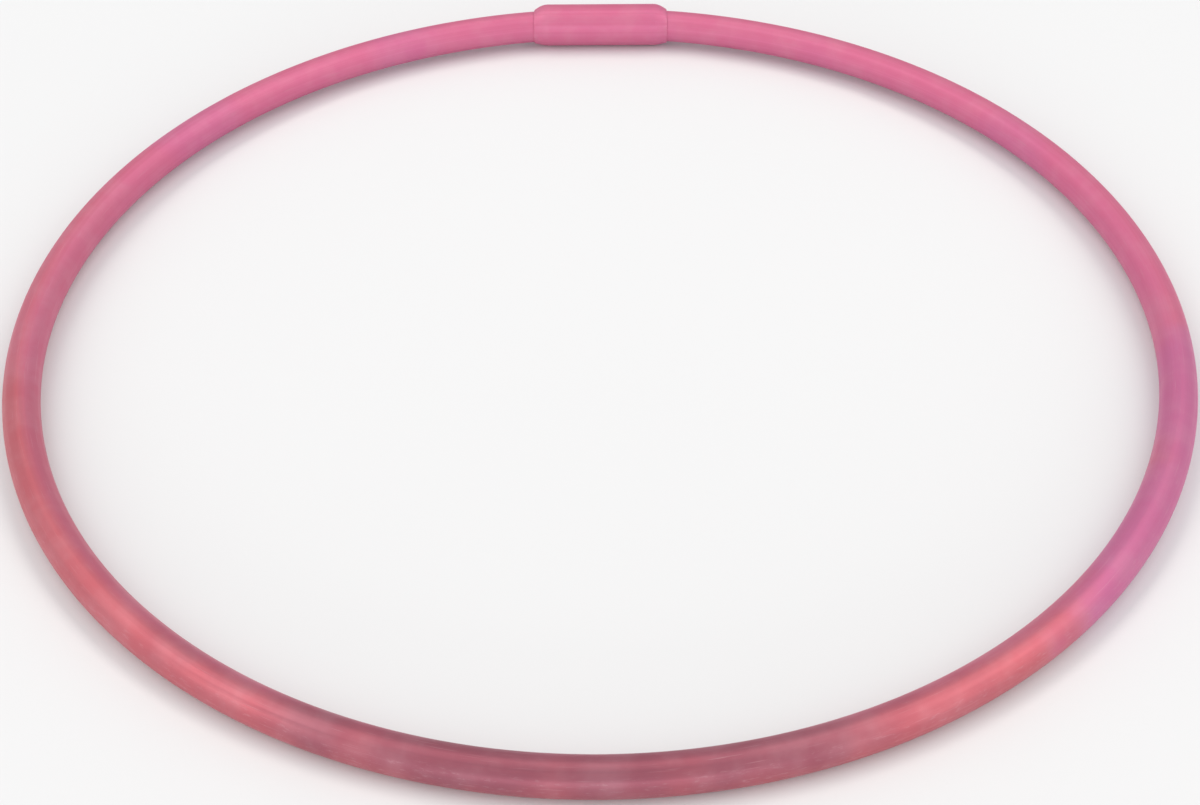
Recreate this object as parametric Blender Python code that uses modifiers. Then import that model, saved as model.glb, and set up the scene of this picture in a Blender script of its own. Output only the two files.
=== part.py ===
"""A rhythmic gymnastics hoop, in metres, with +Z up.

One length of round plastic tube is bent into a ring that lies in the XY plane, centred on the
origin. Its two ends meet at +Y. They are pushed onto a hollow insert, each end is held by two
blind rivets, and a sleeve covers the joint. The insert and the sleeve are straight, so the tube
is straight over the insert, and bends back into the ring inside the sleeve's ends. The sleeve's
ends are formed down onto the tube, so their lips follow it.
"""

import math

import bmesh
import bpy
from mathutils import Vector

# The ring.
HOOP_DIAMETER = 0.650
TUBE_DIAMETER = 0.020
TUBE_WALL = 0.0016
TUBE_RADIUS = TUBE_DIAMETER / 2
RING_RADIUS = HOOP_DIAMETER / 2 - TUBE_RADIUS

# Parts that touch on the real hoop keep this gap.
GAP = 0.0003

# The joint's axis runs along X, a little inside the ring's own circle.
JOINT_Y = RING_RADIUS - 0.002
STRAIGHT_HALF = 0.0245
# The bend beside the joint is tangent to both the straight and the ring's circle.
BEND_RADIUS = (RING_RADIUS**2 - JOINT_Y**2 - STRAIGHT_HALF**2) / (2 * (RING_RADIUS - JOINT_Y))
BEND_TURN = math.asin(STRAIGHT_HALF / (RING_RADIUS - BEND_RADIUS))

# The sleeve over the joint. Its bore clears the rivet heads, and narrows to nothing at the lips,
# where only the tube's passage goes on.
SLEEVE_Y = JOINT_Y + 0.001
SLEEVE_RADIUS = 0.0135
SLEEVE_WALL = 0.0017
SLEEVE_HALF = 0.044
LIP_RADIUS = 0.0109
SHOULDER_LENGTH = 0.009
RELIEF_RADIUS = SLEEVE_RADIUS - SLEEVE_WALL
RELIEF_HALF = 0.033
RELIEF_END_RADIUS = TUBE_RADIUS - 0.001
LIP_START = 0.040

# The insert, a hollow spigot on each side of a collar that the tube's ends butt against.
INSERT_HALF = 0.0235
INSERT_BORE = 0.0056
COLLAR_HALF = 0.0015
TUBE_END = COLLAR_HALF + GAP
RIB_HEIGHT = 0.00035
RIB_LENGTH = 0.0026
RIB_STARTS = (0.0028, 0.011, 0.0186)
PILOT_LENGTH = 0.0018
PILOT_DROP = 0.0007

# The blind rivets: two through each end of the tube, one from above and one from below.
SHANK_RADIUS = 0.0016
RIVET_BORE = 0.00092
HEAD_RADIUS = 0.0032
HEAD_HEIGHT = 0.001
BULB_RADIUS = 0.0023
BULB_START = 0.0006
BULB_END = 0.0012
TAIL_LENGTH = 0.002
MANDREL_RADIUS = 0.0006
MANDREL_HEAD_RADIUS = 0.0013
MANDREL_HEAD_TIP_RADIUS = 0.00065
MANDREL_HEAD_LENGTH = 0.0011
MANDREL_HEAD_TAPER = 0.00055
BREAK_DEPTH = 0.0003
UPPER_RIVET_X = 0.0085
LOWER_RIVET_X = 0.0165

# How finely round shapes are faceted. Every section has a flat side that faces straight down.
TUBE_SIDES = 16
TURNED_SIDES = 32
RIVET_SIDES = 12
BEND_STEPS = 4
RING_STEPS = 71
SHOULDER_STEPS = 5
DOME_STEPS = 4
MERGE = 0.00001

# How far the tube's flat sides, outside and in its bore, lie from its centre.
TUBE_FLAT = TUBE_RADIUS * math.cos(math.pi / TUBE_SIDES)
BORE_FLAT = TUBE_FLAT - TUBE_WALL
RIB_RADIUS = BORE_FLAT - GAP
SPIGOT_RADIUS = RIB_RADIUS - RIB_HEIGHT
HEAD_SEAT = TUBE_FLAT + GAP
GRIP = HEAD_SEAT - INSERT_BORE + 2 * GAP
RIVET_HOLE = (SHANK_RADIUS + GAP) / math.cos(math.pi / RIVET_SIDES)


def clear_scene():
    for obj in list(bpy.data.objects):
        bpy.data.objects.remove(obj, do_unlink=True)


def collection(name):
    made = bpy.data.collections.new(name)
    bpy.context.scene.collection.children.link(made)
    return made


def material(name, colour, roughness, metallic=0.0):
    """A Principled BSDF with this linear colour."""
    made = bpy.data.materials.new(name)
    made.use_nodes = True
    shader = made.node_tree.nodes["Principled BSDF"]
    shader.inputs["Base Color"].default_value = (*colour, 1.0)
    shader.inputs["Roughness"].default_value = roughness
    shader.inputs["Metallic"].default_value = metallic
    return made


def add_object(name, data, group, finish=None):
    obj = bpy.data.objects.new(name, data)
    group.objects.link(obj)
    if finish is not None:
        data.materials.append(finish)
    return obj


def mirrored(path):
    """The path's other half, so that mirrored(path) + path runs along +X through the joint."""
    return [Vector((-point.x, point.y, point.z)) for point in reversed(path)]


def bend_path():
    """The centreline from the end of the straight, round the bend, to the ring's circle."""
    centre = Vector((STRAIGHT_HALF, JOINT_Y - BEND_RADIUS, 0.0))
    turns = [BEND_TURN * step / BEND_STEPS for step in range(BEND_STEPS + 1)]
    return [centre + BEND_RADIUS * Vector((math.sin(turn), math.cos(turn), 0.0)) for turn in turns]


def tube_path():
    """The centreline from the tube's end at +X, round the ring, to its end at -X."""
    half = [Vector((TUBE_END, JOINT_Y, 0.0))] + bend_path()
    ring_turn = math.tau - 2 * BEND_TURN
    turns = [BEND_TURN + ring_turn * step / RING_STEPS for step in range(1, RING_STEPS)]
    ring = [RING_RADIUS * Vector((math.sin(turn), math.cos(turn), 0.0)) for turn in turns]
    return half + ring + mirrored(half)


def evaluated_mesh(obj):
    """The object's mesh with its modifiers or its bevel worked out."""
    bpy.context.view_layer.update()
    graph = bpy.context.evaluated_depsgraph_get()
    mesh = bpy.data.meshes.new_from_object(obj.evaluated_get(graph))
    mesh.name = obj.name
    return mesh


def shade_round(mesh, crease_degrees=35):
    mesh.shade_smooth()
    mesh.set_sharp_from_angle(angle=math.radians(crease_degrees))


def swept(name, path, radius, sides, caps):
    """A round skin along a path, as a mesh, with a flat side facing straight down."""
    curve = bpy.data.curves.new(name, "CURVE")
    curve.dimensions = "3D"
    curve.bevel_depth = radius
    curve.bevel_resolution = (sides - 4) // 2
    curve.use_fill_caps = caps
    spline = curve.splines.new("POLY")
    spline.points.add(len(path) - 1)
    for point, place in zip(spline.points, path):
        point.co = (*place, 1.0)
        point.tilt = math.pi / sides
    guide = bpy.data.objects.new(name, curve)
    bpy.context.scene.collection.objects.link(guide)
    mesh = evaluated_mesh(guide)
    bpy.data.objects.remove(guide, do_unlink=True)
    body = bmesh.new()
    body.from_mesh(mesh)
    bmesh.ops.remove_doubles(body, verts=body.verts, dist=MERGE)
    body.to_mesh(mesh)
    body.free()
    shade_round(mesh)
    return mesh


def turned(name, profile, sides, group, finish=None, closed=False):
    """A body turned about its own Z, from (radius, height) points that run down its outer side.

    A closed profile has a bore. An open one starts and ends on the axis.
    """
    half_facet = math.pi / sides
    points = [
        (radius * math.cos(half_facet), radius * math.sin(half_facet), height)
        for radius, height in profile
    ]
    edges = [(i, i + 1) for i in range(len(points) - 1)]
    if closed:
        edges.append((len(points) - 1, 0))
    outline = bpy.data.meshes.new(name)
    outline.from_pydata(points, edges, [])
    obj = add_object(name, outline, group, finish)
    screw = obj.modifiers.new("turn", "SCREW")
    screw.axis = "Z"
    screw.angle = math.tau
    screw.steps = screw.render_steps = sides
    screw.use_merge_vertices = True
    screw.merge_threshold = MERGE
    mesh = evaluated_mesh(obj)
    shade_round(mesh)
    obj.modifiers.clear()
    obj.data = mesh
    return obj


def along_joint(obj, joint, axis_y=JOINT_Y):
    """Lays a turned body's axis along X, at this distance from the ring's middle."""
    obj.parent = joint
    obj.location = (0.0, axis_y - JOINT_Y, 0.0)
    obj.rotation_euler = (0.0, math.radians(90), 0.0)
    return obj


def down_both_halves(half):
    """The whole of a symmetric outline, from the half of it that runs from the middle up."""
    return list(reversed(half)) + [(radius, -height) for radius, height in half]


def insert_profile():
    half = [(TUBE_RADIUS, COLLAR_HALF), (SPIGOT_RADIUS, COLLAR_HALF)]
    for start in RIB_STARTS:
        half.append((SPIGOT_RADIUS, start))
        half.append((RIB_RADIUS, start))
        half.append((SPIGOT_RADIUS, start + RIB_LENGTH))
    half.append((SPIGOT_RADIUS, INSERT_HALF - PILOT_LENGTH))
    half.append((SPIGOT_RADIUS - PILOT_DROP, INSERT_HALF))
    return down_both_halves(half) + [(INSERT_BORE, -INSERT_HALF), (INSERT_BORE, INSERT_HALF)]


def shoulder_drop(x):
    """How far the sleeve has narrowed at this distance from its middle, from 0 to 1 at its end."""
    share = max(0.0, (abs(x) - SLEEVE_HALF) / SHOULDER_LENGTH + 1.0)
    return 1.0 - math.cos(share * math.pi / 2)


def sleeve_profile():
    """The sleeve's outside, straight with a rounded shoulder at each end."""
    half = []
    for step in range(SHOULDER_STEPS + 1):
        x = SLEEVE_HALF - SHOULDER_LENGTH * (1 - step / SHOULDER_STEPS)
        half.append((SLEEVE_RADIUS - (SLEEVE_RADIUS - LIP_RADIUS) * shoulder_drop(x), x))
    half.append((0.0, SLEEVE_HALF))
    return down_both_halves(half)


def lean_to_tube(mesh):
    """Moves a sleeve's shoulders towards the ring's middle, until each lip is round the tube."""
    for vertex in mesh.vertices:
        x = vertex.co.z
        tube_y = math.sqrt(RING_RADIUS**2 - x**2)
        vertex.co.y += (tube_y - SLEEVE_Y) * shoulder_drop(x)


def relief_profile():
    """The bore of the sleeve, which narrows to less than the tube's passage."""
    half = [(RELIEF_RADIUS, RELIEF_HALF), (RELIEF_END_RADIUS, LIP_START), (0.0, LIP_START)]
    return down_both_halves(half)


def rivet_profile():
    """A set blind rivet. Height 0 is the underside of its domed head."""
    profile = []
    for step in range(DOME_STEPS + 1):
        turn = step / DOME_STEPS * math.pi / 2
        radius = RIVET_BORE + (HEAD_RADIUS - RIVET_BORE) * math.sin(turn)
        profile.append((radius, HEAD_HEIGHT * math.cos(turn)))
    profile += [
        (SHANK_RADIUS, 0.0),
        (SHANK_RADIUS, -GRIP),
        (BULB_RADIUS, -GRIP - BULB_START),
        (BULB_RADIUS, -GRIP - BULB_END),
        (SHANK_RADIUS, -GRIP - TAIL_LENGTH),
        (RIVET_BORE, -GRIP - TAIL_LENGTH),
    ]
    return profile


def mandrel_profile():
    """The stem left in a set rivet, broken off inside its head, with its own head at the tail."""
    tail = -GRIP - TAIL_LENGTH - GAP
    return [
        (0.0, HEAD_HEIGHT - BREAK_DEPTH),
        (MANDREL_RADIUS, HEAD_HEIGHT - BREAK_DEPTH),
        (MANDREL_RADIUS, tail),
        (MANDREL_HEAD_RADIUS, tail),
        (MANDREL_HEAD_RADIUS, tail - MANDREL_HEAD_TAPER),
        (MANDREL_HEAD_TIP_RADIUS, tail - MANDREL_HEAD_LENGTH),
        (0.0, tail - MANDREL_HEAD_LENGTH),
    ]


def as_cutter(obj):
    obj.hide_render = True
    obj.display_type = "WIRE"
    return obj


def rivet_hole(place, x, side, joint, group):
    """A pin that cuts one wall of the tube and of the insert. Side is 1 above, -1 below."""
    inner, outer = INSERT_BORE / 2, HEAD_SEAT + HEAD_HEIGHT
    bpy.ops.mesh.primitive_cylinder_add(
        vertices=RIVET_SIDES, radius=RIVET_HOLE, depth=outer - inner
    )
    pin = bpy.context.active_object
    pin.name = "hole_" + place
    for user in list(pin.users_collection):
        user.objects.unlink(pin)
    group.objects.link(pin)
    pin.parent = joint
    pin.location = (x, 0.0, side * (inner + outer) / 2)
    return as_cutter(pin)


def cut(obj, cutters):
    for cutter in cutters:
        modifier = obj.modifiers.new(cutter.name, "BOOLEAN")
        modifier.operation = "DIFFERENCE"
        modifier.solver = "EXACT"
        modifier.object = cutter


def hoop_tube(group, finish, holes):
    mesh = swept("hoop_tube", tube_path(), TUBE_RADIUS, TUBE_SIDES, caps=False)
    tube = add_object("hoop_tube", mesh, group, finish)
    wall = tube.modifiers.new("wall", "SOLIDIFY")
    wall.thickness = TUBE_WALL
    wall.offset = -1.0
    wall.use_even_offset = True
    wall.use_rim = True
    cut(tube, holes)


def joint_insert(joint, group, finish, holes):
    insert = turned("joint_insert", insert_profile(), TURNED_SIDES, group, finish, closed=True)
    along_joint(insert, joint)
    cut(insert, holes)


def joint_sleeve(joint, group, finish, cutters):
    sleeve = turned("joint_sleeve", sleeve_profile(), TURNED_SIDES, group, finish)
    lean_to_tube(sleeve.data)
    along_joint(sleeve, joint, SLEEVE_Y)
    relief = as_cutter(turned("sleeve_relief", relief_profile(), TURNED_SIDES, cutters))
    along_joint(relief, joint, SLEEVE_Y)
    path = mirrored(bend_path()) + bend_path()
    mesh = swept("sleeve_passage", path, TUBE_RADIUS + GAP, TUBE_SIDES, caps=True)
    passage = as_cutter(add_object("sleeve_passage", mesh, cutters))
    cut(sleeve, [relief, passage])


def rivet(place, x, side, joint, group, body_finish, mandrel_finish):
    """A rivet body and its mandrel, standing on the tube's upper (1) or lower (-1) side."""
    seat = bpy.data.objects.new("rivet_seat_" + place, None)
    group.objects.link(seat)
    seat.parent = joint
    seat.location = (x, 0.0, side * HEAD_SEAT)
    seat.rotation_euler = (0.0 if side > 0 else math.pi, 0.0, 0.0)
    body = turned(
        "rivet_body_" + place, rivet_profile(), RIVET_SIDES, group, body_finish, closed=True
    )
    mandrel = turned(
        "rivet_mandrel_" + place, mandrel_profile(), RIVET_SIDES, group, mandrel_finish
    )
    body.parent = seat
    mandrel.parent = seat


def main():
    clear_scene()
    parts = collection("rhythmic_hoop")
    cutters = collection("cutters")

    ring_pink = material("ring_pink", (0.55, 0.16, 0.27), 0.35)
    sleeve_pink = material("sleeve_pink", (0.52, 0.15, 0.28), 0.42)
    natural_nylon = material("natural_nylon", (0.72, 0.70, 0.62), 0.5)
    aluminium = material("aluminium", (0.80, 0.80, 0.82), 0.35, metallic=1.0)
    steel = material("steel", (0.45, 0.45, 0.47), 0.4, metallic=1.0)

    joint = bpy.data.objects.new("joint_axis", None)
    parts.objects.link(joint)
    joint.location = (0.0, JOINT_Y, 0.0)

    rivets = {
        "right_upper": (UPPER_RIVET_X, 1),
        "right_lower": (LOWER_RIVET_X, -1),
        "left_upper": (-UPPER_RIVET_X, 1),
        "left_lower": (-LOWER_RIVET_X, -1),
    }
    holes = [rivet_hole(place, x, side, joint, cutters) for place, (x, side) in rivets.items()]

    hoop_tube(parts, ring_pink, holes)
    joint_insert(joint, parts, natural_nylon, holes)
    joint_sleeve(joint, parts, sleeve_pink, cutters)
    for place, (x, side) in rivets.items():
        rivet(place, x, side, joint, parts, aluminium, steel)


main()
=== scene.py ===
"""The looks of the rhythmic hoop: satin pink plastic with a faint pearl, on a pale studio floor.

Fine pieces replace the faceted ones of the CAD model, and keep its sizes. The tube's centreline
is in the XY plane: straight across the joint at +Y, a short bend on each side, and then the
ring's circle. The sleeve's ends are formed down onto the tube, and follow it.
"""

import math

import bmesh
import bpy
from mathutils import Matrix, Vector


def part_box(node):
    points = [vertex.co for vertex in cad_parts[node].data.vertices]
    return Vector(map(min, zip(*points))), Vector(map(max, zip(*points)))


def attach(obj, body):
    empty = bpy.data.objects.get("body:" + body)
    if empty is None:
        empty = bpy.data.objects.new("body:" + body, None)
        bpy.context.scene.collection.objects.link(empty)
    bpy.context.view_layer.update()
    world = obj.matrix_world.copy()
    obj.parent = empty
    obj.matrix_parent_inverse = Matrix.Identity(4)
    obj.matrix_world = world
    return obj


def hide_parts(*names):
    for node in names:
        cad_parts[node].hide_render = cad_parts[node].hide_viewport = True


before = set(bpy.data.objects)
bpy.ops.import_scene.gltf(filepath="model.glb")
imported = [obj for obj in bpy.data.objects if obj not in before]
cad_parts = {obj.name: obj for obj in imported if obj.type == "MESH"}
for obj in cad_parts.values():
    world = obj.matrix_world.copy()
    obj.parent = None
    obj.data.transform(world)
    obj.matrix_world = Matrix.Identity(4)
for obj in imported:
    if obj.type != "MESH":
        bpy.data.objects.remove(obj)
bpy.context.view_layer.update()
BODY = "root"

# Where the CAD model has the joint's parts, whose axes run along X.
INSERT_LOW, INSERT_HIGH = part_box("joint_insert")
SLEEVE_LOW, SLEEVE_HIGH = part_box("joint_sleeve")
JOINT_Y = (INSERT_LOW.y + INSERT_HIGH.y) / 2
SLEEVE_Y = (SLEEVE_LOW.y + SLEEVE_HIGH.y) / 2

# The ring, in metres. Its tube is straight as far as STRAIGHT_HALF on each side of the joint,
# and starts TUBE_END from the middle. Here and below, a bore is given by its radius.
TUBE_RADIUS = 0.010
TUBE_WALL = 0.0016
TUBE_BORE = TUBE_RADIUS - TUBE_WALL
RING_RADIUS = 0.315
STRAIGHT_HALF = 0.0245
BEND_RADIUS = (RING_RADIUS**2 - JOINT_Y**2 - STRAIGHT_HALF**2) / (2 * (RING_RADIUS - JOINT_Y))
BEND_TURN = math.asin(STRAIGHT_HALF / (RING_RADIUS - BEND_RADIUS))
TUBE_END = 0.0018

# The sleeve. LIP_EDGE_START is the angle from the radius, in degrees, where a lip's rounded
# edge starts.
SLEEVE_HALF = SLEEVE_HIGH.x
SLEEVE_RADIUS = 0.0135
LIP_RADIUS = 0.0109
LIP_EDGE = 0.0004
LIP_EDGE_START = 65
LIP_GAP = 0.00008
SHOULDER_LENGTH = 0.009
RELIEF_RADIUS = 0.0118
RELIEF_HALF = 0.033
RELIEF_END_RADIUS = 0.009
LIP_START = 0.040

# The insert. PILOT_EDGE_START is the angle from the radius, in degrees, where a pilot's
# rounded end starts.
INSERT_HALF = INSERT_HIGH.x
INSERT_BORE = 0.0056
COLLAR_HALF = 0.0015
INSERT_EDGE = 0.0003
RIB_RADIUS = TUBE_BORE - 0.0001
SPIGOT_RADIUS = RIB_RADIUS - 0.0004
RIB_LENGTH = 0.0026
RIB_STARTS = (0.0028, 0.011, 0.0186)
PILOT_LENGTH = 0.0018
PILOT_RADIUS = SPIGOT_RADIUS - 0.0007
PILOT_EDGE_START = 20

# The blind rivets. Heights are from the tube's surface, and angles are in degrees. The bulb
# starts a little below the insert's bore, whose curve falls away on both sides.
RIVET_HOLE_RADIUS = 0.0018
SHANK_RADIUS = 0.0016
RIVET_BORE = 0.00092
HEAD_RADIUS = 0.0032
HEAD_HEIGHT = 0.001
GRIP = TUBE_RADIUS - INSERT_BORE
BULB_RADIUS = 0.0023
BULB_START = 0.0004
TAIL_LENGTH = 0.002
BREAK_DEPTH = 0.0003
BREAK_EDGE = 0.00015
MANDREL_RADIUS = 0.00085
MANDREL_HEAD_RADIUS = 0.0013
MANDREL_HEAD_LENGTH = 0.0011
MANDREL_HEAD_ROUNDING = 80

# How finely the visible surfaces are made, and the angle in degrees that makes an edge sharp.
TUBE_SIDES = 56
BEND_STEPS = 24
RING_STEPS = 400
SLEEVE_SIDES = 112
SHOULDER_STEPS = 18
INSERT_SIDES = 72
RIVET_SIDES = 32
ROUNDING_STEPS = 6
SHARP_ANGLE = 35


# Shapes


def mirrored(path):
    """The same path on the other side of the joint, from its far end back."""
    return [Vector((-point.x, point.y, point.z)) for point in reversed(path)]


def bend_path():
    """The centreline from the end of the straight, round the bend, to the ring's circle."""
    centre = Vector((STRAIGHT_HALF, JOINT_Y - BEND_RADIUS, 0.0))
    turns = [BEND_TURN * step / BEND_STEPS for step in range(BEND_STEPS + 1)]
    return [centre + BEND_RADIUS * Vector((math.sin(turn), math.cos(turn), 0.0)) for turn in turns]


def tube_path():
    """The centreline from the tube's end at +X, round the ring, to its end at -X."""
    half = [Vector((TUBE_END, JOINT_Y, 0.0))] + bend_path()
    ring_turn = math.tau - 2 * BEND_TURN
    turns = [BEND_TURN + ring_turn * step / RING_STEPS for step in range(1, RING_STEPS)]
    ring = [RING_RADIUS * Vector((math.sin(turn), math.cos(turn), 0.0)) for turn in turns]
    return half + ring + mirrored(half)


def outward(path, index):
    """The unit vector in the XY plane across the path, away from the ring's middle."""
    before, after = path[max(index - 1, 0)], path[min(index + 1, len(path) - 1)]
    along = (after - before).normalized()
    return Vector((-along.y, along.x, 0.0))


def round_section(body, centre, across, up, radius, sides):
    """Points evenly round a circle, which starts at across and turns towards up."""
    turns = [math.tau * side / sides for side in range(sides)]
    return [
        body.verts.new(centre + radius * (math.cos(turn) * across + math.sin(turn) * up))
        for turn in turns
    ]


def bridge(body, first, second):
    """A band of four-sided faces between two sections with equal numbers of points."""
    for i, start in enumerate(first):
        j = (i + 1) % len(first)
        body.faces.new((start, second[i], second[j], first[j]))


def shade_round(mesh):
    mesh.shade_smooth()
    mesh.set_sharp_from_angle(angle=math.radians(SHARP_ANGLE))


def mesh_object(name, body):
    """An object in the scene, made from the finished body."""
    bmesh.ops.recalc_face_normals(body, faces=body.faces)
    mesh = bpy.data.meshes.new(name)
    body.to_mesh(mesh)
    body.free()
    shade_round(mesh)
    obj = bpy.data.objects.new(name, mesh)
    bpy.context.scene.collection.objects.link(obj)
    return obj


def pipe(name, path, radii, sides):
    """A solid rod along a path, or with a second radius, a tube with that bore."""
    body = bmesh.new()
    up = Vector((0.0, 0.0, 1.0))
    skins = []
    for radius in radii:
        skin = [
            round_section(body, point, outward(path, i), up, radius, sides)
            for i, point in enumerate(path)
        ]
        for first, second in zip(skin, skin[1:]):
            bridge(body, first, second)
        skins.append(skin)
    for end in (0, -1):
        if len(skins) == 2:
            bridge(body, skins[0][end], skins[1][end])
        else:
            body.faces.new(skins[0][end])
    return mesh_object(name, body)


def turned(name, profile, sides, place, bored=False):
    """A piece turned about its own Z from (radius, height) points, then moved to its place.

    A bored one's outline closes on itself. A solid one ends in two flat faces.
    """
    body = bmesh.new()
    across, up = Vector((1.0, 0.0, 0.0)), Vector((0.0, 1.0, 0.0))
    rings = [
        round_section(body, Vector((0.0, 0.0, height)), across, up, radius, sides)
        for radius, height in profile
    ]
    if bored:
        rings.append(rings[0])
    else:
        body.faces.new(rings[0])
        body.faces.new(rings[-1])
    for first, second in zip(rings, rings[1:]):
        bridge(body, first, second)
    body.transform(place)
    return mesh_object(name, body)


def along_x(y):
    """Turns a piece's own Z to +X, on an axis this far from the ring's middle."""
    return Matrix.Translation((0.0, y, 0.0)) @ Matrix.Rotation(math.radians(90), 4, "Y")


def rivet_place(x, side):
    """A rivet's seat on the tube's surface, above the joint (1) or below it (-1)."""
    turn = Matrix.Rotation(0.0 if side > 0 else math.pi, 4, "X")
    return Matrix.Translation((x, JOINT_Y, side * TUBE_RADIUS)) @ turn


def both_ends(half):
    """A symmetric profile, from the half of it that runs from the middle up."""
    return [(radius, -height) for radius, height in reversed(half)] + half


def rounding(radius, height, size, start, end):
    """Points of a rounded edge about (radius, height). Angles are from the radius, in degrees."""
    shares = [step / ROUNDING_STEPS for step in range(ROUNDING_STEPS + 1)]
    turns = [math.radians(start + (end - start) * share) for share in shares]
    return [(radius + size * math.cos(turn), height + size * math.sin(turn)) for turn in turns]


def cut(obj, cutters):
    """Cuts the cutters out of the object."""
    for cutter in cutters:
        modifier = obj.modifiers.new(cutter.name, "BOOLEAN")
        modifier.operation = "DIFFERENCE"
        modifier.solver = "EXACT"
        modifier.object = cutter
    bpy.context.view_layer.update()
    graph = bpy.context.evaluated_depsgraph_get()
    mesh = bpy.data.meshes.new_from_object(obj.evaluated_get(graph))
    obj.modifiers.clear()
    obj.data = mesh
    shade_round(mesh)


def remove(cutters):
    for cutter in cutters:
        bpy.data.objects.remove(cutter, do_unlink=True)


def make_tube(holes):
    tube = pipe("ring_tube", tube_path(), (TUBE_RADIUS, TUBE_BORE), TUBE_SIDES)
    cut(tube, holes)
    return tube


def shoulder_drop(x):
    """How far the sleeve has narrowed at this distance from its middle, from 0 to 1 at its end."""
    share = max(0.0, (abs(x) - SLEEVE_HALF) / SHOULDER_LENGTH + 1.0)
    return 1.0 - math.cos(share * math.pi / 2)


def sleeve_radius(x):
    return SLEEVE_RADIUS - (SLEEVE_RADIUS - LIP_RADIUS) * shoulder_drop(x)


def sleeve_profile():
    """The sleeve's outside: straight, with rounded shoulders and a rounded edge to each lip."""
    edge_x = SLEEVE_HALF - LIP_EDGE
    turn = math.radians(LIP_EDGE_START)
    lip_x = edge_x + LIP_EDGE * math.cos(turn)
    shoulder_x = SLEEVE_HALF - SHOULDER_LENGTH
    places = [
        shoulder_x + (lip_x - shoulder_x) * step / SHOULDER_STEPS for step in range(SHOULDER_STEPS)
    ]
    half = [(sleeve_radius(x), x) for x in places]
    edge_radius = sleeve_radius(lip_x) - LIP_EDGE * math.sin(turn)
    half += rounding(edge_radius, edge_x, LIP_EDGE, LIP_EDGE_START, 90)
    return both_ends(half + [(RELIEF_END_RADIUS, SLEEVE_HALF)])


def make_sleeve():
    """The sleeve, formed down onto the tube at its ends, with its relief and the tube's way in."""
    sleeve = turned("sleeve", sleeve_profile(), SLEEVE_SIDES, along_x(SLEEVE_Y))
    for vertex in sleeve.data.vertices:
        tube_y = math.sqrt(RING_RADIUS**2 - vertex.co.x**2)
        vertex.co.y += (tube_y - SLEEVE_Y) * shoulder_drop(vertex.co.x)
    relief_half = [(RELIEF_RADIUS, RELIEF_HALF), (RELIEF_END_RADIUS, LIP_START)]
    relief = turned("sleeve_relief", both_ends(relief_half), SLEEVE_SIDES, along_x(SLEEVE_Y))
    path = mirrored(bend_path()) + bend_path()
    passage = pipe("sleeve_passage", path, (TUBE_RADIUS + LIP_GAP,), SLEEVE_SIDES)
    cut(sleeve, [relief, passage])
    remove([relief, passage])
    return sleeve


def insert_profile():
    """The insert's outline: a collar, barbed ribs on each spigot, and a pilot at each end."""
    collar_edge = (TUBE_RADIUS - INSERT_EDGE, COLLAR_HALF - INSERT_EDGE)
    half = rounding(*collar_edge, INSERT_EDGE, 0, 90)
    half.append((SPIGOT_RADIUS, COLLAR_HALF))
    for start in RIB_STARTS:
        half.append((SPIGOT_RADIUS, start))
        half.append((RIB_RADIUS, start + INSERT_EDGE / 2))
        half.append((RIB_RADIUS, start + INSERT_EDGE))
        half.append((SPIGOT_RADIUS, start + RIB_LENGTH))
    half.append((SPIGOT_RADIUS, INSERT_HALF - PILOT_LENGTH))
    pilot_edge = (PILOT_RADIUS - INSERT_EDGE, INSERT_HALF - INSERT_EDGE)
    half += rounding(*pilot_edge, INSERT_EDGE, PILOT_EDGE_START, 90)
    half.append((INSERT_BORE, INSERT_HALF))
    return both_ends(half)


def make_insert(holes):
    insert = turned("insert", insert_profile(), INSERT_SIDES, along_x(JOINT_Y), bored=True)
    cut(insert, holes)
    return insert


def rivet_profile():
    """A set blind rivet: a domed head, a shank, and a bulb under the insert's curved bore."""
    profile = []
    for step in range(ROUNDING_STEPS + 1):
        turn = step / ROUNDING_STEPS * math.pi / 2
        radius = RIVET_BORE + (HEAD_RADIUS - RIVET_BORE) * math.sin(turn)
        profile.append((radius, HEAD_HEIGHT * math.cos(turn)))
    profile += [(SHANK_RADIUS, 0.0), (SHANK_RADIUS, -GRIP - BULB_START)]
    for step in range(1, 2 * ROUNDING_STEPS):
        share = step / (2 * ROUNDING_STEPS)
        swell = math.sqrt(math.sin(share * math.pi))
        radius = SHANK_RADIUS + (BULB_RADIUS - SHANK_RADIUS) * swell
        profile.append((radius, -GRIP - BULB_START - share * (TAIL_LENGTH - BULB_START)))
    profile += [(SHANK_RADIUS, -GRIP - TAIL_LENGTH), (RIVET_BORE, -GRIP - TAIL_LENGTH)]
    return profile


def mandrel_profile():
    """The stem left in a set rivet: a rough break inside the head, and its own round head."""
    tail = -GRIP - TAIL_LENGTH
    break_height = HEAD_HEIGHT - BREAK_DEPTH
    profile = [(MANDREL_RADIUS / 2, break_height), (MANDREL_RADIUS, break_height - BREAK_EDGE)]
    profile += [(MANDREL_RADIUS, tail), (MANDREL_HEAD_RADIUS, tail)]
    for step in range(1, ROUNDING_STEPS + 1):
        turn = step / ROUNDING_STEPS * math.radians(MANDREL_HEAD_ROUNDING)
        height = tail - MANDREL_HEAD_LENGTH * math.sin(turn)
        profile.append((MANDREL_HEAD_RADIUS * math.cos(turn), height))
    return profile


def rivet_hole(place):
    """A pin that cuts one wall of the tube and of the insert."""
    profile = [(RIVET_HOLE_RADIUS, HEAD_HEIGHT), (RIVET_HOLE_RADIUS, -GRIP - TAIL_LENGTH)]
    return turned("rivet_hole", profile, RIVET_SIDES, place)


# Materials


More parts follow.
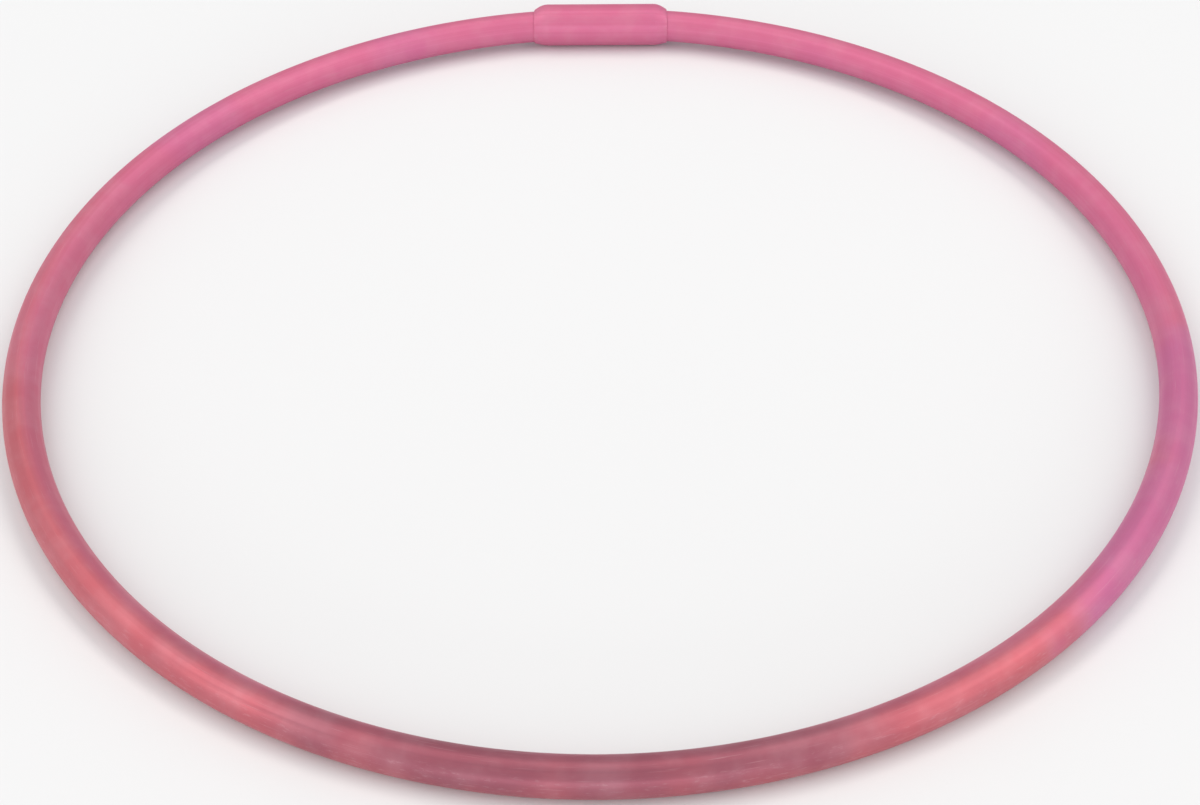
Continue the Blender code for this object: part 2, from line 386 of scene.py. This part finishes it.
class Nodes:
    """Short calls for building one material's node tree."""

    def __init__(self, name):
        self.material = bpy.data.materials.new(name)
        self.material.use_nodes = True
        self.tree = self.material.node_tree
        self.shader = self.tree.nodes["Principled BSDF"]

    def link(self, value, socket):
        if isinstance(value, bpy.types.NodeSocket):
            self.tree.links.new(value, socket)
        else:
            socket.default_value = value

    def math(self, operation, first, second=0.0):
        node = self.tree.nodes.new("ShaderNodeMath")
        node.operation = operation
        self.link(first, node.inputs[0])
        self.link(second, node.inputs[1])
        return node.outputs[0]

    def plus(self, first, second):
        return self.math("ADD", first, second)

    def minus(self, first, second):
        return self.math("SUBTRACT", first, second)

    def times(self, first, second):
        return self.math("MULTIPLY", first, second)

    def place(self):
        """The point's x, y and z in metres."""
        coordinates = self.tree.nodes.new("ShaderNodeTexCoord")
        split = self.tree.nodes.new("ShaderNodeSeparateXYZ")
        self.link(coordinates.outputs["Object"], split.inputs[0])
        return split.outputs

    def vector(self, x, y, z):
        node = self.tree.nodes.new("ShaderNodeCombineXYZ")
        for value, socket in zip((x, y, z), node.inputs):
            self.link(value, socket)
        return node.outputs[0]

    def noise(self, vector, scale, detail=2.0, w=None, roughness=0.5):
        """Noise from 0 to 1, whose scale is about how many features it has in a metre."""
        node = self.tree.nodes.new("ShaderNodeTexNoise")
        node.noise_dimensions = "3D" if w is None else "4D"
        self.link(vector, node.inputs["Vector"])
        if w is not None:
            self.link(w, node.inputs["W"])
        node.inputs["Scale"].default_value = scale
        node.inputs["Detail"].default_value = detail
        node.inputs["Roughness"].default_value = roughness
        return node.outputs["Fac"]

    def drawn_noise(self, out, z, x, y, across, along, detail, roughness=0.5):
        """Noise that changes quickly across the tube and slowly along it."""
        section = [self.times(value, across) for value in (out, z)]
        length = [self.times(value, along) for value in (x, y)]
        return self.noise(self.vector(*section, length[0]), 1.0, detail, length[1], roughness)

    def spread(self, value, step, start=0.0, end=1.0):
        """Goes smoothly from start to end as the value goes through the step."""
        node = self.tree.nodes.new("ShaderNodeMapRange")
        node.interpolation_type = "SMOOTHSTEP"
        self.link(value, node.inputs["Value"])
        node.inputs["From Min"].default_value, node.inputs["From Max"].default_value = step
        node.inputs["To Min"].default_value = start
        node.inputs["To Max"].default_value = end
        return node.outputs["Result"]

    def mix(self, share, first, second):
        """The first colour where the share is 0, and the second where it is 1."""
        node = self.tree.nodes.new("ShaderNodeMix")
        node.data_type = "RGBA"
        self.link(share, node.inputs["Factor"])
        for value, name in ((first, "A"), (second, "B")):
            socket = next(each for each in node.inputs if each.name == name and each.type == "RGBA")
            self.link(value if isinstance(value, bpy.types.NodeSocket) else (*value, 1.0), socket)
        return next(each for each in node.outputs if each.type == "RGBA")

    def bump(self, height, distance, normal=None):
        node = self.tree.nodes.new("ShaderNodeBump")
        node.inputs["Distance"].default_value = distance
        self.link(height, node.inputs["Height"])
        if normal is not None:
            self.link(normal, node.inputs["Normal"])
        return node.outputs["Normal"]


def linear(red, green, blue):
    """A linear colour from sRGB values of 0 to 255."""
    return tuple(
        value / 12.92 if value <= 0.04045 else ((value + 0.055) / 1.055) ** 2.4
        for value in (red / 255, green / 255, blue / 255)
    )


# The colours of the plastic's tint, and the chalky one of its clouds, scuffs and scratches. The deep
# one is painted shade for the ring's front, the pale one is painted light near the joint, and mauve
# also serves as a painted cool reflection on the ring's inner side.
PAINTED_SHADE_DEEP = linear(154, 88, 103)
CORAL = linear(194, 104, 114)
ROSE = linear(202, 113, 133)
PAINTED_LIGHT_PALE = linear(209, 114, 146)
MAUVE = linear(200, 113, 155)
CHALK = linear(226, 190, 200)

# Light and dark tones of the other materials, and the range of their roughness.
NYLON = (linear(232, 226, 210), linear(216, 208, 188))
NYLON_ROUGHNESS = (0.45, 0.6)
ALUMINIUM = ((0.80, 0.80, 0.81), (0.68, 0.68, 0.70))
ALUMINIUM_ROUGHNESS = (0.24, 0.42)
STEEL = ((0.50, 0.50, 0.51), (0.36, 0.36, 0.38))
STEEL_ROUGHNESS = (0.32, 0.5)
FLOOR_PAINT = (linear(227, 233, 235), linear(224, 230, 232))

# Where the tint changes, in metres. Rose and pale follow in turn towards the joint, and start further
# back on the left; this lightening towards the joint is painted light. Mauve lies on the right, a
# little towards the front. The deep stretch at the front is painted shade, deeper on top, and the
# inner side's mauve is a painted cool reflection.
WANDER = 0.12
SLANT = 0.3
ROSE_STEP = (-0.20, -0.10)
PAINTED_LIGHT_STEP = (-0.08, 0.14)
MAUVE_X = 0.9
MAUVE_Y = 0.4
MAUVE_WANDER = 0.5
MAUVE_STEP = (0.29, 0.318)
BLOTCH_PLACE = (-0.2, 0.0)
# Where the ring's inner side takes mauve as a painted cool reflection, and how much.
PAINTED_SHEEN_INNER_STEP = (-0.005, 0.002)
PAINTED_SHEEN_INNER_SHARE = 0.3
PAINTED_SHADE_STEP = (-0.362, -0.267)
PAINTED_SHADE_ON_TOP = 4.0

# Which part of each noise shows as a mark, and how strongly.
BLOTCH_MARKS = (0.56, 0.70)
BLOTCH_SHARE = 0.5
CLOUD_MARKS = (0.35, 0.8)
CLOUD_SHARE = 0.11
SCRATCH_MARKS = (0.66, 0.76)
SCRATCH_SHARE = 0.24
SCUFF_MARKS = (0.56, 0.66)
SCUFF_SHARE = 0.22
SCUFF_STRETCH = 6.0
END_MARKS = (0.45, 0.65)
BRUSH_STRETCH = 12.0
MIDDLE = (0.3, 0.7)

# The plastic's shine. Hands hold the hoop near the joint, where its satin has gone duller.
SATIN_ROUGHNESS = (0.38, 0.56)
WORN_ROUGHNESS = 0.18
HANDLED_PLACE = (-0.08, 0.14)
HANDLED_ROUGHNESS = 0.15
PEARL = 0.69

# How deep each fine relief is, in metres.
PEEL_DEPTH = 0.00002
DIE_LINE_DEPTH = 0.00008
SCRATCH_DEPTH = 0.00002
GRAIN_DEPTH = 0.00002
BRUSH_DEPTH = 0.000005


def pigment_and_painted_light(nodes, x, y, z, out):
    """The plastic's tint: palest at the joint from painted light, and deepest opposite it from painted
    shade.

    In between, it is coral on the left and mauve on the right, and the steps wander with a broad drift
    and smaller patches. The ring's inner side is mauver, as a painted cool reflection, and the painted
    shade at the front is deeper on top than underneath.
    """
    place = nodes.vector(x, y, z)
    drift = nodes.minus(nodes.noise(place, scale=5.0, detail=1.0), 0.5)
    patches = nodes.minus(nodes.noise(place, scale=22.0, detail=2.0), 0.5)
    wander = nodes.times(nodes.plus(drift, patches), WANDER)
    depth = nodes.plus(y, wander)
    slant = nodes.plus(depth, nodes.times(x, SLANT))
    # Coral, rose and pale follow towards the joint; the lightening towards the joint is painted light.
    tint = nodes.mix(nodes.spread(slant, ROSE_STEP), CORAL, ROSE)
    tint = nodes.mix(nodes.spread(slant, PAINTED_LIGHT_STEP), tint, PAINTED_LIGHT_PALE)
    side = nodes.minus(nodes.times(x, MAUVE_X), nodes.times(y, MAUVE_Y))
    side = nodes.plus(side, nodes.times(wander, MAUVE_WANDER))
    tint = nodes.mix(nodes.spread(side, MAUVE_STEP), tint, MAUVE)
    blotches = nodes.spread(nodes.noise(place, scale=9.0, detail=1.0), BLOTCH_MARKS, 0.0, BLOTCH_SHARE)
    tint = nodes.mix(nodes.times(blotches, nodes.spread(slant, BLOTCH_PLACE)), tint, MAUVE)
    # Painted cool reflection: the ring's inner side is mixed towards mauve.
    tint = nodes.mix(nodes.spread(out, PAINTED_SHEEN_INNER_STEP, PAINTED_SHEEN_INNER_SHARE, 0.0), tint, MAUVE)
    # Painted shade: the ring's front is mixed towards the deep colour, more on top than underneath.
    front = nodes.minus(depth, nodes.times(z, PAINTED_SHADE_ON_TOP))
    tint = nodes.mix(nodes.spread(front, PAINTED_SHADE_STEP), PAINTED_SHADE_DEEP, tint)
    clouds = nodes.noise(place, scale=60.0, detail=3.0)
    return nodes.mix(nodes.spread(clouds, CLOUD_MARKS, 0.0, CLOUD_SHARE), tint, CHALK)


def scuffs(nodes, x, y, z, out, straight):
    """The rolling side is dulled in short patches, and so are the ends of the straight sleeve."""
    stretched = nodes.vector(x, y, nodes.times(z, SCUFF_STRETCH))
    rub = nodes.noise(stretched, scale=160.0, detail=5.0, roughness=0.7)
    rolling = nodes.spread(out, (TUBE_RADIUS / 2, TUBE_RADIUS))
    scuff = nodes.times(nodes.spread(rub, SCUFF_MARKS), rolling)
    if not straight:
        return scuff
    end = nodes.spread(nodes.math("ABSOLUTE", x), (SLEEVE_HALF - SHOULDER_LENGTH / 3, SLEEVE_HALF))
    return nodes.math("MAXIMUM", scuff, nodes.times(nodes.spread(rub, END_MARKS), end))


def pink_plastic(name, straight=False):
    """Satin pink plastic with a pearl, drawn lengthwise, and dulled where it rubs.

    The tube is drawn round the ring, and the sleeve is drawn straight.
    """
    nodes = Nodes(name)
    x, y, z = nodes.place()
    if straight:
        out = nodes.minus(y, SLEEVE_Y)
    else:
        distance = nodes.math("SQRT", nodes.plus(nodes.times(x, x), nodes.times(y, y)))
        out = nodes.minus(distance, RING_RADIUS)

    # Fine lines left by the die run along the plastic, and so do short hairline scratches.
    lines = nodes.drawn_noise(out, z, x, y, across=420.0, along=1.0, detail=5.0, roughness=0.62)
    hairs = nodes.drawn_noise(out, z, x, y, across=2600.0, along=45.0, detail=1.0)
    scratch = nodes.spread(hairs, SCRATCH_MARKS)
    scuff = scuffs(nodes, x, y, z, out, straight)
    tint = nodes.mix(nodes.times(scuff, SCUFF_SHARE), pigment_and_painted_light(nodes, x, y, z, out), CHALK)
    tint = nodes.mix(nodes.times(scratch, SCRATCH_SHARE), tint, CHALK)
    nodes.link(tint, nodes.shader.inputs["Base Color"])

    worn = nodes.times(nodes.math("MAXIMUM", scuff, scratch), WORN_ROUGHNESS)
    handled = nodes.times(nodes.spread(y, HANDLED_PLACE), HANDLED_ROUGHNESS)
    satin = nodes.spread(lines, MIDDLE, *SATIN_ROUGHNESS)
    nodes.link(nodes.plus(nodes.plus(satin, worn), handled), nodes.shader.inputs["Roughness"])
    peel = nodes.bump(nodes.noise(nodes.vector(x, y, z), scale=900.0, detail=2.0), PEEL_DEPTH)
    skin = nodes.bump(lines, DIE_LINE_DEPTH, peel)
    grooves = nodes.bump(nodes.times(scratch, -1.0), SCRATCH_DEPTH, skin)
    nodes.link(grooves, nodes.shader.inputs["Normal"])
    nodes.shader.inputs["Metallic"].default_value = PEARL
    nodes.shader.inputs["IOR"].default_value = 1.49
    nodes.shader.inputs["Subsurface Weight"].default_value = 0.2
    nodes.shader.inputs["Subsurface Radius"].default_value = (1.0, 0.35, 0.4)
    nodes.shader.inputs["Subsurface Scale"].default_value = 0.003
    return nodes.material


def moulded_nylon(name):
    """Undyed nylon with a fine grain."""
    nodes = Nodes(name)
    place = nodes.vector(*nodes.place())
    cloud = nodes.noise(place, scale=120.0, detail=3.0)
    grain = nodes.noise(place, scale=2500.0, detail=2.0)
    nodes.link(nodes.mix(cloud, *NYLON), nodes.shader.inputs["Base Color"])
    nodes.link(nodes.spread(cloud, MIDDLE, *NYLON_ROUGHNESS), nodes.shader.inputs["Roughness"])
    nodes.link(nodes.bump(grain, GRAIN_DEPTH), nodes.shader.inputs["Normal"])
    return nodes.material


def worn_metal(name, tones, roughness):
    """Bare metal with faint brush marks round the ring, and uneven shine."""
    nodes = Nodes(name)
    x, y, z = nodes.place()
    cloud = nodes.noise(nodes.vector(x, y, z), scale=700.0, detail=3.0)
    brush = nodes.noise(nodes.vector(x, y, nodes.times(z, BRUSH_STRETCH)), scale=1800.0, detail=2.0)
    nodes.link(nodes.mix(cloud, *tones), nodes.shader.inputs["Base Color"])
    nodes.link(nodes.spread(brush, MIDDLE, *roughness), nodes.shader.inputs["Roughness"])
    nodes.link(nodes.bump(brush, BRUSH_DEPTH), nodes.shader.inputs["Normal"])
    nodes.shader.inputs["Metallic"].default_value = 1.0
    return nodes.material


# The studio, in metres, watts and degrees. A low wide panel is far in front, and a long warm one
# is high on each side: SIDE_PLACE and SIDE_TARGET are for the right one, and the left one mirrors
# it. Their roll shapes the highlights on the front of the ring. The sky is the light all round.
FLOOR_HALF = 14.0
FRONT_PLACE = (0.0, -20.0, 3.2)
FRONT_SIZE = (17.2, 3.4)
FRONT_POWER = 780.0
SIDE_PLACE = (5.24, -1.28, 5.86)
SIDE_TARGET = (0.16, -0.26, 0.0)
SIDE_SIZE = (2.4, 18.0)
SIDE_POWER = 420.0
SIDE_ROLL = 42
WHITE = (1.0, 1.0, 1.0)
WARM = (1.0, 0.82, 0.76)
SKY = (0.95, 1.0, 1.02)
SKY_STRENGTH = 0.66


def make_floor():
    """A wide pale floor that touches the tube at the front and the sleeve at the back."""
    rise = (TUBE_RADIUS - SLEEVE_RADIUS) / (JOINT_Y + RING_RADIUS)
    body = bmesh.new()
    corners = []
    for across, along in ((-1, -1), (1, -1), (1, 1), (-1, 1)):
        x, y = across * FLOOR_HALF, along * FLOOR_HALF
        corners.append(body.verts.new((x, y, -TUBE_RADIUS + rise * (y + RING_RADIUS))))
    body.faces.new(corners)
    floor = mesh_object("studio_floor", body)
    nodes = Nodes("floor_paint")
    cloud = nodes.noise(nodes.vector(*nodes.place()), scale=1.5, detail=3.0)
    nodes.link(nodes.mix(cloud, *FLOOR_PAINT), nodes.shader.inputs["Base Color"])
    nodes.shader.inputs["Roughness"].default_value = 0.9
    nodes.shader.inputs["Specular IOR Level"].default_value = 0.1
    floor.data.materials.append(nodes.material)


def area_light(name, place, target, size, power, colour, roll=0.0):
    """A panel of light at a place, turned to the target, and rolled by this many degrees."""
    lamp = bpy.data.lights.new(name, "AREA")
    lamp.shape = "RECTANGLE"
    lamp.size, lamp.size_y = size
    lamp.energy = power
    lamp.color = colour
    obj = bpy.data.objects.new(name, lamp)
    bpy.context.scene.collection.objects.link(obj)
    obj.location = place
    turn = (Vector(target) - Vector(place)).to_track_quat("-Z", "Y").to_matrix().to_4x4()
    obj.rotation_euler = (turn @ Matrix.Rotation(math.radians(roll), 4, "Z")).to_euler()


def make_lights():
    """The three panels, and the even light all round."""
    area_light("front_panel", FRONT_PLACE, (0.0, 0.0, 0.0), FRONT_SIZE, FRONT_POWER, WHITE)
    for side, name in ((-1, "left_panel"), (1, "right_panel")):
        mirror = Vector((side, 1, 1))
        place, target = mirror * Vector(SIDE_PLACE), mirror * Vector(SIDE_TARGET)
        area_light(name, place, target, SIDE_SIZE, SIDE_POWER, WARM, roll=-side * SIDE_ROLL)
    world = bpy.data.worlds.new("studio")
    world.use_nodes = True
    background = world.node_tree.nodes["Background"]
    background.inputs["Color"].default_value = (*SKY, 1.0)
    background.inputs["Strength"].default_value = SKY_STRENGTH
    bpy.context.scene.world = world


# The camera, in ring radii and degrees, which looks at a point between the ring's middle and
# its front. Its lens and sensor are in millimetres.
CAMERA_DISTANCE = 3.557
CAMERA_ELEVATION = 41.69
CAMERA_TURN = 0.6
CAMERA_AIM = -0.2064
CAMERA_ROLL = 0.67
LENS = 63.1
SENSOR_WIDTH = 36.0


def make_camera():
    """The photograph's viewing angle."""
    elevation = math.radians(CAMERA_ELEVATION)
    around = Matrix.Rotation(math.radians(CAMERA_TURN), 3, "Z")
    back = around @ Vector((0.0, -math.cos(elevation), math.sin(elevation)))
    aim = around @ Vector((0.0, CAMERA_AIM * RING_RADIUS, 0.0))
    data = bpy.data.cameras.new("camera")
    data.lens = LENS
    data.sensor_width = SENSOR_WIDTH
    camera = bpy.data.objects.new("camera", data)
    bpy.context.scene.collection.objects.link(camera)
    camera.location = aim + CAMERA_DISTANCE * RING_RADIUS * back
    turn = (-back).to_track_quat("-Z", "Y").to_matrix().to_4x4()
    roll = Matrix.Rotation(-math.radians(CAMERA_ROLL), 4, "Z")
    camera.rotation_euler = (turn @ roll).to_euler()
    bpy.context.scene.camera = camera


def stands_for(piece, node, slot, finishes):
    """Puts a fine piece in place of a CAD node, with the finish of that material slot."""
    piece.data.materials.clear()
    piece.data.materials.append(finishes[slot])
    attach(piece, BODY)
    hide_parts(node)


def rivet_places():
    """Where each rivet sits, under the part of its CAD node's name that says which it is."""
    places = {}
    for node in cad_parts:
        if node.startswith("rivet_body_"):
            low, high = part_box(node)
            side = 1 if high.z > -low.z else -1
            places[node.removeprefix("rivet_body_")] = rivet_place((low.x + high.x) / 2, side)
    return places


def main():
    """Fine pieces for all the CAD nodes, on the studio floor."""
    finishes = {
        "hoop_plastic": pink_plastic("ring_pink"),
        "sleeve_plastic": pink_plastic("sleeve_pink", straight=True),
        "insert_plastic": moulded_nylon("natural_nylon"),
        "rivet_aluminium": worn_metal("aluminium", ALUMINIUM, ALUMINIUM_ROUGHNESS),
        "mandrel_steel": worn_metal("steel", STEEL, STEEL_ROUGHNESS),
    }

    places = rivet_places()
    holes = [rivet_hole(place) for place in places.values()]
    stands_for(make_tube(holes), "hoop_tube", "hoop_plastic", finishes)
    stands_for(make_insert(holes), "joint_insert", "insert_plastic", finishes)
    stands_for(make_sleeve(), "joint_sleeve", "sleeve_plastic", finishes)
    remove(holes)
    for name, place in places.items():
        rivet = turned("rivet_" + name, rivet_profile(), RIVET_SIDES, place, bored=True)
        stands_for(rivet, "rivet_body_" + name, "rivet_aluminium", finishes)
        mandrel = turned("mandrel_" + name, mandrel_profile(), RIVET_SIDES, place)
        stands_for(mandrel, "rivet_mandrel_" + name, "mandrel_steel", finishes)

    make_floor()
    make_lights()
    make_camera()
    bpy.context.scene.view_settings.view_transform = "Standard"
    bpy.context.scene.view_settings.look = "None"


main()
